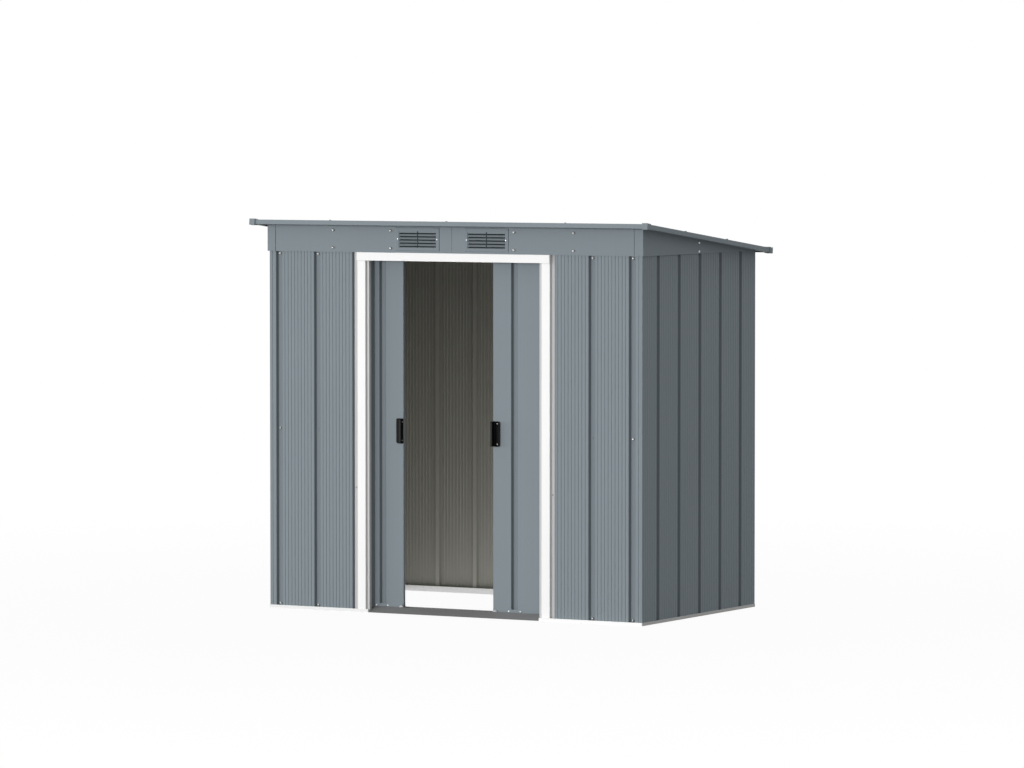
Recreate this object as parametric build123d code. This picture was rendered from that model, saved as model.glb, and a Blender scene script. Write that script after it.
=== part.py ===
from build123d import *
import math
import os

# A pent-roofed storage shed of rolled steel sheet, with two door leaves that slide behind the front panels.
# Millimetres, +Z up, front towards -Y. While a piece is made, depth is counted from the front wall's outer
# face; at the end every piece is moved so that the origin lies under the middle of the roof, on the ground.

# Walls
sheet = 1.5
wall_width = 1905.0
wall_depth = 1098.0
panel_tuck = 21.5
groove_pitch = 200.0
groove_floor = 19.0
groove_slope = 8.0
groove_depth = 10.0
corner_to_groove = 50.0
jamb_to_groove = 11.4
rib_pitch = 17.2
rib_width = 6.0
rib_depth = 1.6

# Base rails
rail_width = 26.0
rail_outer_lip = 14.0
rail_inner_lip = 26.0
rail_to_jamb = 0.9
rail_notch = 4.0

# Header and gables
gable_lap = 4.7
header_stand = 7.0
gable_wrap = 42.0
wrap_gap = 1.2
seam_bevel = 1.4

# Vents
vent_spacing = 352.0
vent_width = 226.0
vent_side_border = 17.5
vent_head_border = 17.5
vent_sill_border = 14.5
vent_above_edge = 9.0
vent_below_roof = 10.5
vent_stand = 2.5
vent_bevel = 2.2
vent_clearance = 2.0
louvre_count = 5
louvre_depth = 15.0
louvre_rise = 6.0
louvre_edge = 2.5
louvre_set_back = 1.0
louvre_seat = 1.0
mullion_width = 4.0
mullion_depth = 3.0

# Roof
roof_pitch_deg = 6.2
roof_front_height = 1741.2
front_overhang = 70.0
back_overhang = 45.0
side_overhang = 61.0
trim_height = 20.0
trim_width = 25.0
cap_wall = 4.0
cap_bevel = 2.0
sheet_end_gap = 2.5
seat_gap = 0.2
edge_rib_inset = 13.5
roof_rib_depth = 8.0

# Roof beam and back rail
beam_from_front = 525.0
beam_height = 58.0
beam_flange = 25.0
back_rail_leg = 32.0
back_rail_flange = 28.0

# Door frame
doorway_half = 435.6
jamb_face = 39.5
jamb_slope = 6.0
jamb_inner_flange = 10.0
jamb_return = 17.5
jamb_tuck = 11.5
liner_reach = 31.0
liner_drop = 6.5
bar_end_margin = 1.4
bar_drop = 36.5
bar_tuck = 20.0

# Tracks and threshold
track_front_lip = 24.0
track_back_lip = 26.0
track_end_gap = 2.0
running_gap = 0.3
door_clearance = 5.0
ramp_toe = 0.0
ramp_end_gap = 0.6
top_track_web = 27.0
top_track_drop = 34.7
top_track_rise = 2.0
top_track_lip = 4.5
shelf_width = 15.0

# Door leaves
leaf_cover = 34.4
leaf_depth = 15.0
leaf_lip = 12.0
leaf_bottom = 11.5
leaf_head_gap = 16.0
leaf_groove_inset = 108.0
left_leaf_open = 290.7
right_leaf_open = 170.8
bottom_channel_lip = 28.0
top_channel_lip = 22.0

# Door handles
handle_height = 112.0
handle_middle = 817.5
handle_width = 35.0
handle_plate = 4.0
handle_corner = 8.0
rim_width = 8.0
rim_stand = 27.0
rim_root = 3.0
boss_radius = 5.5
boss_height = 1.5
boss_inset = 24.0
boss_spacing = 90.5

# Rollers and guide shoes
hanger_inset = 92.0
hanger_length = 56.0
hanger_plate = 3.0
hanger_top_margin = 9.0
hanger_foot_depth = 12.0
wheel_radius = 13.0
wheel_width = 10.0
wheel_groove = 1.0
axle_radius = 3.0
shoe_inset = 10.5
shoe_width = 19.0
shoe_top = 33.0
shoe_bottom = 5.0

# Derived places
overrun = 10.0
half_width = wall_width / 2
pitch = math.radians(roof_pitch_deg)
roof_half = half_width + side_overhang
roof_run = (front_overhang + wall_depth + back_overhang) / math.cos(pitch)
pan_height = trim_height - 2 * sheet - roof_rib_depth
roof_place = Location((0, -front_overhang, roof_front_height), (-roof_pitch_deg, 0, 0))
front_edge = -front_overhang - cap_wall * (math.cos(pitch) + math.sin(pitch))
cap_top = trim_height + cap_wall
back_edge = wall_depth + back_overhang + cap_wall * math.cos(pitch) + cap_top * math.sin(pitch)
plan_middle = (front_edge + back_edge) / 2
face_outer = doorway_half + jamb_inner_flange + jamb_slope + jamb_face
flange_depth = groove_depth - sheet
liner_front = flange_depth + jamb_return
liner_back = liner_front + liner_reach
track_front = liner_back - sheet
channel_front = liner_back + door_clearance
leaf_front = channel_front + sheet
leaf_back = leaf_front + leaf_depth
channel_back = leaf_back + sheet
track_back = channel_back + door_clearance + sheet
rail_inside = rail_width - sheet
header_back = sheet - header_stand
gable_inner = half_width - header_back


def underside(depth):
    """Height of the roof sheet's flat underside at a depth behind the front wall's face."""
    return (
        roof_front_height
        - (depth + front_overhang) * math.tan(pitch)
        + pan_height / math.cos(pitch)
        - seat_gap
    )


wall_top = underside(wall_depth)
header_bottom = wall_top - gable_lap
header_top = underside(header_back)
vent_bottom = header_bottom + vent_above_edge
vent_top = header_top - vent_below_roof
window_bottom = vent_bottom + vent_sill_border
window_top = vent_top - vent_head_border
window_half = vent_width / 2 - vent_side_border
bar_half = face_outer + bar_end_margin
bar_bottom = header_bottom - bar_drop
top_track_arm = header_top - top_track_drop
top_track_shelf = header_bottom + top_track_rise
leaf_top = top_track_shelf - leaf_head_gap
leaf_width = doorway_half + leaf_cover


def sheet_section(path, thickness=sheet):
    """Closed outline of a bent sheet: the path is one skin, and the other lies to its left."""
    normals = []
    for (x0, y0), (x1, y1) in zip(path, path[1:]):
        length = math.hypot(x1 - x0, y1 - y0)
        normals.append(((y0 - y1) / length, (x1 - x0) / length))
    other = []
    for (x, y), (ax, ay), (bx, by) in zip(path, normals[:1] + normals, normals + normals[-1:]):
        reach = thickness / (1 + ax * bx + ay * by)
        other.append((x + reach * (ax + bx), y + reach * (ay + by)))
    return path + other[::-1]


def prism(outline, plane, length):
    """Straight piece with the given closed section, run along the plane's normal."""
    return extrude(plane * make_face(Polyline(*outline, close=True)), amount=length)


def upright(outline, bottom, top):
    """Piece whose section is a plan, standing from bottom to top."""
    return prism(outline, Plane.XY.offset(bottom), top - bottom)


def along_x(outline, left, right):
    """Piece whose section is a (depth, height) outline, running from left to right."""
    return prism(outline, Plane((left, 0, 0), x_dir=(0, 1, 0), z_dir=(1, 0, 0)), right - left)


def along_y(outline, front, back):
    """Piece whose section is an (x, height) outline, running from front to back."""
    return prism(outline, Plane((0, back, 0), x_dir=(1, 0, 0), z_dir=(0, -1, 0)), back - front)


def block(low, high):
    """Box between two corners."""
    size = [b - a for a, b in zip(low, high)]
    middle = [(a + b) / 2 for a, b in zip(low, high)]
    return Pos(*middle) * Box(*size)


def land_path(start, end, ribbed):
    """Flat stretch of a rolled sheet, with fine V ribs sunk at an even pitch."""
    points = [(start, 0)]
    count = int((end - start) / rib_pitch) if ribbed else 0
    for index in range(count):
        centre = (start + end) / 2 + (index - (count - 1) / 2) * rib_pitch
        points += [(centre - rib_width / 2, 0), (centre, rib_depth), (centre + rib_width / 2, 0)]
    return points + [(end, 0)]


def rolled_path(start, end, grooves, ribbed=True, drop=groove_depth):
    """Skin of a rolled sheet as (along, depth) points; an end may fall on a groove's floor."""
    points = []
    land_start = start
    for centre in grooves:
        floor_start = centre - groove_floor / 2
        floor_end = centre + groove_floor / 2
        if floor_start > start:
            points += land_path(land_start, floor_start - groove_slope, ribbed)
            points.append((floor_start, drop))
        else:
            points.append((start, drop))
        if floor_end >= end:
            return points + [(end, drop)]
        points.append((floor_end, drop))
        land_start = floor_end + groove_slope
    return points + land_path(land_start, end, ribbed)


def grooves_from_corner(reach):
    """Groove centres counted from a wall's corner, as far as the sheet reaches."""
    count = int((reach - corner_to_groove) / groove_pitch) + 1
    return [corner_to_groove + groove_pitch * index for index in range(count)]


def both_sides(part):
    """The right-hand piece and its mirror image on the left."""
    return mirror(part, about=Plane.YZ), part


def panel_grooves():
    """Groove centres of the right front panel, from the one beside the jamb towards the corner."""
    first = face_outer + jamb_to_groove
    last = half_width - groove_floor / 2 - groove_slope - sheet
    count = int((last - first) / groove_pitch) + 1
    return [first + groove_pitch * index for index in range(count)]


def front_panel():
    """Right front panel, from the groove floor that carries the jamb's flange to the corner."""
    grooves = panel_grooves()
    start = grooves[0] - groove_floor / 2
    return upright(sheet_section(rolled_path(start, half_width, grooves)), sheet, header_bottom + panel_tuck)


def side_wall():
    """Right wall, one rolled sheet between the front and back panels, its grooves about the middle."""
    count = int((wall_depth / 2 - corner_to_groove) / groove_pitch)
    grooves = [wall_depth / 2 + groove_pitch * index for index in range(-count, count + 1)]
    path = [(half_width - depth, along) for along, depth in rolled_path(sheet, wall_depth - sheet, grooves)]
    return upright(sheet_section(path), sheet, wall_top)


def back_panel():
    """Right half of the back wall, from the corner to the middle."""
    skin = rolled_path(0, half_width, grooves_from_corner(half_width))
    path = [(half_width - along, wall_depth - depth) for along, depth in skin]
    return upright(sheet_section(path), sheet, wall_top)


def front_base_rails():
    """Two channels under the front panels, open upwards, that end at the door jambs."""
    path = [(-sheet, rail_outer_lip), (-sheet, 0), (rail_inside, 0), (rail_inside, rail_inner_lip)]
    end = doorway_half + sheet + rail_to_jamb
    notch = block((half_width - rail_notch, sheet, sheet), (half_width, rail_width, rail_inner_lip))
    return both_sides(along_x(sheet_section(path), end, half_width) - notch)


def side_base_rail():
    """Channel under the right wall, its outer lip running on round both corners."""
    inner = half_width - rail_inside
    outer = half_width + sheet
    path = [(inner, rail_inner_lip), (inner, 0), (outer, 0), (outer, rail_outer_lip)]
    channel = along_y(sheet_section(path), rail_inside, wall_depth - rail_inside)
    lip = block((half_width, -sheet, 0), (outer, wall_depth + sheet, rail_outer_lip))
    return channel + lip


def back_base_rail():
    """Channel under the back wall."""
    inner = wall_depth - rail_inside
    outer = wall_depth + sheet
    path = [(inner, rail_inner_lip), (inner, 0), (outer, 0), (outer, rail_outer_lip)]
    rail = along_x(sheet_section(path), -half_width, half_width)
    for notch in both_sides(
        block(
            (half_width - rail_notch, wall_depth - rail_width, sheet),
            (half_width, wall_depth - sheet, rail_inner_lip),
        )
    ):
        rail -= notch
    return rail


def bevel_ends(plate):
    """Upright plate with the front edges of its two ends bevelled, as a folded sheet shows at a seam."""
    return chamfer(plate.faces().sort_by(Axis.Y)[0].edges().filter_by(Axis.Z), seam_bevel)


def header_half():
    """Right half of the fascia over the doorway, with a window behind its vent and a lip onto the panel."""
    end = half_width + header_stand - gable_wrap - wrap_gap
    fascia = bevel_ends(block((0, -header_stand, header_bottom), (end, header_back, header_top)))
    lip = block((bar_half, header_back, header_bottom), (end, 0, header_bottom + sheet))
    middle = vent_spacing / 2
    half = window_half + vent_clearance
    window = block(
        (middle - half, -header_stand - overrun, window_bottom - vent_clearance),
        (middle + half, header_back + overrun, window_top + vent_clearance),
    )
    return fascia + lip - window


def vent():
    """Right louvred plate with bevelled edges, on the outside of the fascia."""
    x = vent_spacing / 2
    back = -header_stand
    front = back - vent_stand
    left = x - window_half
    right = x + window_half
    plate = block((x - vent_width / 2, front, vent_bottom), (x + vent_width / 2, back, vent_top))
    plate = chamfer(plate.faces().sort_by(Axis.Y)[0].edges(), vent_bevel)
    plate -= block((left, front - overrun, window_bottom), (right, back + overrun, window_top))
    blade_front = front + louvre_set_back
    blade_back = blade_front + louvre_depth
    spacing = (window_top - window_bottom) / louvre_count
    for index in range(louvre_count):
        low = window_bottom + spacing * index
        high = low + louvre_rise
        blade = [
            (blade_front, low),
            (blade_back, high),
            (blade_back, high + sheet),
            (blade_front, low + sheet),
        ]
        plate += along_x(blade, left, right)
        edge_low = (left - louvre_seat, blade_front, low)
        edge_high = (right + louvre_seat, blade_front + sheet, low + louvre_edge)
        plate += block(edge_low, edge_high)
    mullion_back = blade_front + mullion_depth
    half_mullion = mullion_width / 2
    mullion_low = (x - half_mullion, blade_front, window_bottom)
    mullion_high = (x + half_mullion, mullion_back, window_top)
    return plate + block(mullion_low, mullion_high)


def gable():
    """Right gable sheet under the roof's slope, folded round the front corner beside the fascia."""
    outer = half_width + header_stand
    slope = [
        (-header_stand, header_bottom),
        (wall_depth, header_bottom),
        (wall_depth, underside(wall_depth)),
        (-header_stand, underside(-header_stand)),
    ]
    side = along_x(slope, gable_inner, outer)
    wrap_end = outer - gable_wrap
    lip_top = header_bottom + sheet
    wrap = block((wrap_end, -header_stand, header_bottom), (gable_inner, header_back, header_top))
    wrap = chamfer(wrap.edges().filter_by(Axis.Z).group_by(Axis.X)[0].sort_by(Axis.Y)[0], seam_bevel)
    side_lip = block((half_width, header_back, header_bottom), (gable_inner, wall_depth, lip_top))
    front_lip = block((wrap_end, header_back, header_bottom), (half_width, 0, lip_top))
    return side + wrap + side_lip + front_lip


def jamb():
    """Right door jamb: a hat section whose outer flange lies in the panel's groove, with an inner return."""
    face_inner = face_outer - jamb_face
    step = doorway_half + jamb_inner_flange
    flange_end = panel_grooves()[0] + groove_floor / 2
    path = [
        (doorway_half, liner_front),
        (doorway_half, flange_depth),
        (step, flange_depth),
        (face_inner, 0),
        (face_outer, 0),
        (face_outer + jamb_slope, flange_depth),
        (flange_end, flange_depth),
    ]
    return upright(sheet_section(path), sheet, header_bottom + jamb_tuck)


def jamb_liner():
    """Sheet that carries the right jamb's return back towards the leaf."""
    outline = [
        (doorway_half, liner_front),
        (doorway_half + sheet, liner_front),
        (doorway_half + sheet, liner_back),
        (doorway_half, liner_back),
    ]
    return upright(outline, track_front_lip, header_bottom - liner_drop)


def door_head_bar():
    """White bar over the doorway, in front of the jambs and up behind the fascia."""
    path = [(header_back, header_bottom + bar_tuck), (header_back, bar_bottom), (0, bar_bottom)]
    return along_x(sheet_section(path), -bar_half, bar_half)


def track_half():
    """Half length of both door tracks, inside the side base rails."""
    return half_width - rail_inside - track_end_gap


def bottom_track():
    """Trough along the front in which the leaves' shoes slide."""
    path = [(track_front, track_front_lip), (track_front, 0), (track_back, 0), (track_back, track_back_lip)]
    return along_x(sheet_section(path), -track_half(), track_half())


def threshold_ramp():
    """Sloped sheet across the doorway, from the ground up to the track's front lip."""
    top = track_front - sheet
    path = [(ramp_toe, 0), (top, track_front_lip - sheet), (top, 0)]
    end = doorway_half - ramp_end_gap
    return along_x(sheet_section(path), -end, end)


def top_track():
    """Bent track bolted behind the fascia, with a shelf and lip on which the wheels run."""
    drop = leaf_front - shelf_width - 2 * sheet
    shelf_end = drop + shelf_width + 2 * sheet
    path = [
        (header_back, top_track_arm + top_track_web),
        (header_back, top_track_arm),
        (drop, top_track_arm),
        (drop, top_track_shelf),
        (shelf_end, top_track_shelf),
        (shelf_end, top_track_shelf + top_track_lip),
    ]
    return along_x(sheet_section(path), -track_half(), track_half())


def roof_beam():
    """Channel across the shed at mid depth, under the roof sheets and between the gables."""
    back = beam_from_front + beam_flange
    top = underside(back)
    path = [
        (back, top),
        (beam_from_front, top),
        (beam_from_front, top - beam_height),
        (back, top - beam_height),
    ]
    return along_x(sheet_section(path), -gable_inner, gable_inner)


def back_top_rail():
    """Angle along the top of the back wall, inside."""
    face = wall_depth - groove_depth - sheet
    end = half_width - groove_depth - sheet
    path = [(face - back_rail_flange, wall_top), (face, wall_top), (face, wall_top - back_rail_leg)]
    return along_x(sheet_section(path, -sheet), -end, end)


def roof_sheet():
    """Right roof sheet with raised ribs, from the middle rib to the side trim."""
    last_rib = roof_half - edge_rib_inset
    count = round(last_rib / groove_pitch)
    ribs = [last_rib * index / count for index in range(count + 1)]
    end = last_rib + groove_floor / 2
    skin = rolled_path(0, end, ribs, ribbed=False, drop=roof_rib_depth)
    path = [(along, pan_height + depth) for along, depth in skin]
    start = sheet + sheet_end_gap
    return roof_place * along_y(sheet_section(path), start, roof_run - start)


def trim_path():
    """Outer skin of an edge trim as (depth, height) points, from its top flange to its bottom flange."""
    return [(trim_width, trim_height), (0, trim_height), (0, 0), (trim_width, 0)]


def front_trim():
    """Channel over the roof's front edge, between the side trims."""
    end = roof_half - trim_width
    return roof_place * along_x(sheet_section(trim_path()), -end, end)


def back_trim():
    """Channel over the roof's back edge, between the side trims."""
    end = roof_half - trim_width
    path = [(roof_run - depth, height) for depth, height in trim_path()[::-1]]
    return roof_place * along_x(sheet_section(path), -end, end)


def side_trim():
    """Channel over the roof's right edge, for the whole slope."""
    path = [(roof_half - depth, height) for depth, height in trim_path()[::-1]]
    return roof_place * along_y(sheet_section(path), 0, roof_run)


def roof_caps():
    """Moulded caps over the four roof corners, open towards the trims."""
    outer = block((roof_half - trim_width, -cap_wall, -cap_wall), (roof_half + cap_wall, trim_width, cap_top))
    outer = chamfer(outer.faces().sort_by(Axis.X)[-1].edges(), cap_bevel)
    hollow = block((roof_half - trim_width - overrun, 0, 0), (roof_half, trim_width + overrun, trim_height))
    front = outer - hollow
    back = mirror(front, about=Plane.XZ.offset(-roof_run / 2))
    return [roof_place * cap for corner in (front, back) for cap in both_sides(corner)]


def leaf_panel():
    """Door leaf sheet with two grooves and folded edges; its meeting edge is at x = 0 and it runs to +x."""
    skin = rolled_path(0, leaf_width, [leaf_groove_inset, leaf_width - leaf_groove_inset], ribbed=False)
    path = [(leaf_lip, leaf_back), (0, leaf_back)]
    path += [(along, leaf_front + depth) for along, depth in skin]
    path += [(leaf_width, leaf_back), (leaf_width - leaf_lip, leaf_back)]
    return upright(sheet_section(path), leaf_bottom, leaf_top)


def leaf_bottom_channel():
    """Channel that wraps the foot of a leaf."""
    foot = leaf_bottom - sheet
    lip = foot + bottom_channel_lip
    path = [(channel_front, lip), (channel_front, foot), (channel_back, foot), (channel_back, lip)]
    return along_x(sheet_section(path), 0, leaf_width)


def leaf_top_channel():
    """Channel that wraps the head of a leaf."""
    head = leaf_top + sheet
    lip = head - top_channel_lip
    path = [(channel_back, lip), (channel_back, head), (channel_front, head), (channel_front, lip)]
    return along_x(sheet_section(path), 0, leaf_width)


def leaf_handle():
    """Moulded pull: a plate on the leaf's face, a tall rim along the meeting edge and two screw bosses."""
    plate_front = leaf_front - handle_plate
    rim_front = leaf_front - rim_stand
    bottom = handle_middle - handle_height / 2
    top = handle_middle + handle_height / 2
    outline = [
        (0, rim_front),
        (rim_width, rim_front),
        (rim_width, plate_front),
        (handle_width, plate_front),
        (handle_width, leaf_front),
        (0, leaf_front),
    ]
    body = upright(outline, bottom, top)
    body = fillet(body.edges().filter_by(Axis.Y).group_by(Axis.X)[-1], handle_corner)
    body = fillet(body.edges().filter_by(Axis.X).group_by(Axis.Y)[0], handle_corner)
    root = body.edges().filter_by(Axis.Z).group_by(Axis.Y)[1].sort_by(Axis.X)[0]
    body = fillet(root, rim_root)
    for side in (-1, 1):
        centre = (boss_inset, plate_front, handle_middle + side * boss_spacing / 2)
        boss_plane = Plane(centre, x_dir=(1, 0, 0), z_dir=(0, -1, 0))
        body += extrude(boss_plane * Circle(boss_radius), amount=boss_height)
    return body


def leaf_rollers():
    """Two hangers on the leaf's head, each a bent plate with a wheel over the track's shelf."""
    foot = leaf_top + sheet
    shelf = top_track_shelf + sheet
    axle_z = shelf + running_gap + wheel_radius
    shelf_lip = leaf_front
    plate_front = shelf_lip + door_clearance
    wheel_back = shelf_lip - sheet - wheel_groove - running_gap
    middle = (leaf_front + leaf_back) / 2
    hangers = []
    for x in (hanger_inset, leaf_width - hanger_inset):
        low_x = x - hanger_length / 2
        high_x = x + hanger_length / 2
        foot_front = middle - hanger_foot_depth / 2
        foot_back = middle + hanger_foot_depth / 2
        base = block((low_x, foot_front, foot), (high_x, foot_back, foot + hanger_plate))
        stem_top = axle_z + hanger_top_margin
        stem = block((low_x, plate_front, foot), (high_x, plate_front + hanger_plate, stem_top))
        shaft_plane = Plane((x, plate_front + hanger_plate, axle_z), x_dir=(1, 0, 0), z_dir=(0, -1, 0))
        wheel_plane = Plane((x, wheel_back, axle_z), x_dir=(1, 0, 0), z_dir=(0, -1, 0))
        axle_length = plate_front + hanger_plate - wheel_back + wheel_width
        axle = extrude(shaft_plane * Circle(axle_radius), amount=axle_length)
        wheel = extrude(wheel_plane * Circle(wheel_radius), amount=wheel_width)
        hangers.append(base + stem + axle + wheel)
    return hangers


def leaf_shoes():
    """Two moulded shoes round the leaf's foot that slide in the trough."""
    front = liner_back + running_gap
    back = track_back - sheet - running_gap
    foot = leaf_bottom - sheet
    shoes = []
    for x in (shoe_inset, leaf_width - shoe_inset):
        low = x - shoe_width / 2
        high = x + shoe_width / 2
        shoulder = shoe_top - shoe_width / 2
        arch = [
            Line((low, shoe_bottom), (high, shoe_bottom)),
            Line((high, shoe_bottom), (high, shoulder)),
            ThreePointArc((high, shoulder), (x, shoe_top), (low, shoulder)),
            Line((low, shoulder), (low, shoe_bottom)),
        ]
        shoe_plane = Plane((0, back, 0), x_dir=(1, 0, 0), z_dir=(0, -1, 0))
        shoe = extrude(shoe_plane * make_face(Curve() + arch), amount=back - front)
        slot_low = (low - overrun, channel_front, foot)
        slot_high = (high + overrun, channel_back, shoe_top + overrun)
        shoes.append(shoe - block(slot_low, slot_high))
    return shoes


def right_leaf(make):
    """A leaf piece, or several, at the right leaf's place."""
    made = make()
    pieces = made if isinstance(made, list) else [made]
    return [Pos(right_leaf_open, 0, 0) * piece for piece in pieces]


def left_leaf(make):
    """A leaf piece, or several, mirrored to the left leaf's place."""
    made = make()
    pieces = made if isinstance(made, list) else [made]
    return [Pos(-left_leaf_open, 0, 0) * mirror(piece, about=Plane.YZ) for piece in pieces]


def pairs(name, part):
    """Left and right nodes from a right-hand piece."""
    left, right = both_sides(part)
    return {"left_" + name: left, "right_" + name: right}


nodes = {
    **pairs("front_panel", front_panel()),
    **pairs("wall", side_wall()),
    **pairs("back_panel", back_panel()),
    "front_base_rails": front_base_rails(),
    **pairs("base_rail", side_base_rail()),
    "back_base_rail": back_base_rail(),
    **pairs("header", header_half()),
    **pairs("vent", vent()),
    **pairs("gable", gable()),
    **pairs("jamb", jamb()),
    **pairs("jamb_liner", jamb_liner()),
    "door_head_bar": door_head_bar(),
    "bottom_track": bottom_track(),
    "threshold_ramp": threshold_ramp(),
    "top_track": top_track(),
    "roof_beam": roof_beam(),
    "back_top_rail": back_top_rail(),
    **pairs("roof_sheet", roof_sheet()),
    "front_roof_trim": front_trim(),
    "back_roof_trim": back_trim(),
    **pairs("roof_trim", side_trim()),
    "roof_corner_caps": roof_caps(),
}
for piece_name, make_piece in {
    "panel": leaf_panel,
    "bottom_channel": leaf_bottom_channel,
    "top_channel": leaf_top_channel,
    "handle": leaf_handle,
    "rollers": leaf_rollers,
    "shoes": leaf_shoes,
}.items():
    nodes["left_door_" + piece_name] = left_leaf(make_piece)
    nodes["right_door_" + piece_name] = right_leaf(make_piece)

os.makedirs("parts", exist_ok=True)
for node, made in nodes.items():
    solids = list(made) if isinstance(made, (list, tuple)) else [made]
    moved = [Pos(0, -plan_middle, 0) * solid for solid in solids]
    export_step(moved[0] if len(moved) == 1 else Compound(children=moved), f"parts/{node}.step")
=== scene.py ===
"""Finish of a metal storage shed: coats for every piece, its bolts and screws, and a plain studio."""

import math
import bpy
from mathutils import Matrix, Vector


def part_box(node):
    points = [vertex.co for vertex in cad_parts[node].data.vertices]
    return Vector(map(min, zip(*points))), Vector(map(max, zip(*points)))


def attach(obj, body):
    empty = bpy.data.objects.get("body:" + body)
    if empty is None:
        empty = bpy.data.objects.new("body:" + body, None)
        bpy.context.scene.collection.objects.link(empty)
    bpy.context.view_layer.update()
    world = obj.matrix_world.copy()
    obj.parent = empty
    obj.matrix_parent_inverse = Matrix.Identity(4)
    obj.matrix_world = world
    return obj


bl_info = {
    "name": "Storage Shed Finish",
    "version": (1, 0, 0),
    "blender": (4, 5, 0),
    "location": "View3D > Sidebar > Shed",
    "description": "Coats the shed's pieces, adds its bolts and screws, and lights it",
    "category": "Object",
}

from typing import NamedTuple

import bpy
from bpy.props import FloatProperty, FloatVectorProperty, PointerProperty
from bpy.types import Operator, Panel, PropertyGroup
from mathutils import Matrix, Vector

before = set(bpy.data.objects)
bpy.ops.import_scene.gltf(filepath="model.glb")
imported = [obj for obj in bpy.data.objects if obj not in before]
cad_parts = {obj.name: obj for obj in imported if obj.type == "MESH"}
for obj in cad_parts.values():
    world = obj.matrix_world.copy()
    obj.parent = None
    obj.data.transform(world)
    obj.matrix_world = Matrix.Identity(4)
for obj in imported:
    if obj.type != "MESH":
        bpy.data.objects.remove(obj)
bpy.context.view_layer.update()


class Skin(NamedTuple):
    """Surface of a coat or a plastic: roughness, grains to a metre, change of tone, and shine."""

    roughness: float
    grain: float
    spread: float
    shine: float


class Aim(NamedTuple):
    """Where a lamp hangs, in degrees: round to the right from the front, up, and the spread of its disc."""

    turn: float
    rise: float
    spread: float


# Directions
FORWARD = Vector((0, -1, 0))
BACKWARD = Vector((0, 1, 0))
LEFT = Vector((-1, 0, 0))
RIGHT = Vector((1, 0, 0))
UP = Vector((0, 0, 1))

# Faces that carry fasteners or bound a finish, read from the frame
PANEL_LOW, PANEL_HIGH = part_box("right_front_panel")
FASCIA_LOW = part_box("right_header")[0]
GABLE_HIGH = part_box("right_gable")[1]
VENT_LOW, VENT_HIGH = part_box("right_vent")
BACK_LOW, BACK_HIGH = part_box("right_back_panel")
FRONT_TRIM_LOW, FRONT_TRIM_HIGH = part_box("front_roof_trim")
SIDE_TRIM_LOW, SIDE_TRIM_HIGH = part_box("right_roof_trim")
JAMB_LOW, JAMB_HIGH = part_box("right_jamb")
BAR_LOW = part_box("door_head_bar")[0]

# Places of the fasteners, in metres; the bolted grooves of the back are counted from the corner
SHEET = 0.0015
GROOVE_PITCH = 0.2
CORNER_TO_GROOVE = 0.05
PANEL_BOLT_HEIGHTS = (0.022, 0.817, 1.608)
BACK_BOLT_HEIGHTS = (0.022, 1.606)
BACK_BOLT_GROOVES = (0, 2, 4)
JAMB_SCREW_INSET = 0.009
JAMB_SCREW_HEIGHT = 0.56
FASCIA_BOLT_REACHES = (0.3155, 0.6145)
FASCIA_BOLT_HEIGHTS = (1.6377, 1.7165)
GABLE_BOLT_BEHIND_FRONT = 0.525
GABLE_BOLT_HEIGHTS = (1.6285, 1.6676)
VENT_SCREW_INSET = 0.0125
TRIM_BOLT_REACH = 0.6
TRIM_BOLTS_BEHIND_FRONT = (0.315, 0.718)
DOOR_BOLT_INSETS = (0.08, 0.1395)
DOOR_BOLT_RISE = 0.02
RIM_SCREW_SPACING = 0.084
RIM_SCREW_STAND = 0.011
BOSS_SCREW_INSET = 0.024
BOSS_SCREW_SPACING = 0.0905
BOSS_SCREW_STAND = 0.0055

# Heads of the fasteners: each step of a dome is a share of its height and of the width below it
BOLT_SIDES = 20
BOLT_DOME = ((0.45, 1.0), (0.3, 0.9), (0.17, 0.8), (0.08, 0.66))
BOLT_CROSS_DEPTH = 0.4
SCREW_SIDES = 16
SCREW_RIM = 0.4
SCREW_DOME = ((0.35, 0.88), (0.25, 0.72))
SCREW_CROSS_WIDTH = 0.7
SCREW_CROSS_DEPTH = 0.5
SMOOTH_ANGLE = math.radians(35)
SPIN_STEP = 1.1

# A level face on top: the least that it turns upwards, and the most that it lies under the highest point
LEVEL_TURN = 0.99
LEVEL_GAP = 1e-6

# Door jambs: where painted shade starts behind their face and how soon it is full, and the painted shadow
# line in the joint under the bar over the doorway
JAMB_SHADE_START = 0.001
JAMB_SHADE_REACH = 0.003
JOINT_SHADOW_HEIGHT = 0.004
JOINT_SHADOW_SHARE = 0.35

# Vents: borders of a window, half its middle bar, which is painted dark as shade, and how the painted shade
# darkens the blades behind the plate
VENT_SIDE_BORDER = 0.0175
VENT_HEAD_BORDER = 0.0175
VENT_SILL_BORDER = 0.0145
MULLION_HALF = 0.0021
BLADE_SHADE_REACH = 0.0025
BLADE_EDGE_SHADE = 0.05

# Painted shade in the grooves: where it starts below the lands, how soon it is full, its shares, and its
# faces' turn
GROOVE_SHADE_START = 0.0014
GROOVE_SHADE_REACH = 0.0015
FLOOR_SHADE = 0.05
SIDE_SHADE = 0.8
EDGE_TURN = 0.2

# Inner side of a sheet: the turn below which a face is on it, and how much lighter its ridges are painted,
# as painted light
INNER_TURN = -0.05
RIDGE_PAINTED_LIGHT = 1.17

# Coil coat: scales of its streaks, clouds and orange peel, changes of tone, roughness and shine
STREAK_STRETCH = (70.0, 70.0, 1.1)
CLOUD_SCALE = 2.2
COIL_SPREAD = 0.05
INNER_SPREAD = 0.025
COIL_ROUGHNESS = 0.4
STREAK_ROUGHNESS = 0.16
GROOVE_SHADE_ROUGHNESS = 0.2
INNER_ROUGHNESS = 0.12
COIL_SHINE = 0.05
PEEL_SCALE = 240.0
PEEL_SHARE = 0.7
FINE_PEEL_SCALE = 900.0
FINE_PEEL_SHARE = 0.3
PEEL_HEIGHT = 0.0002
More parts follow.
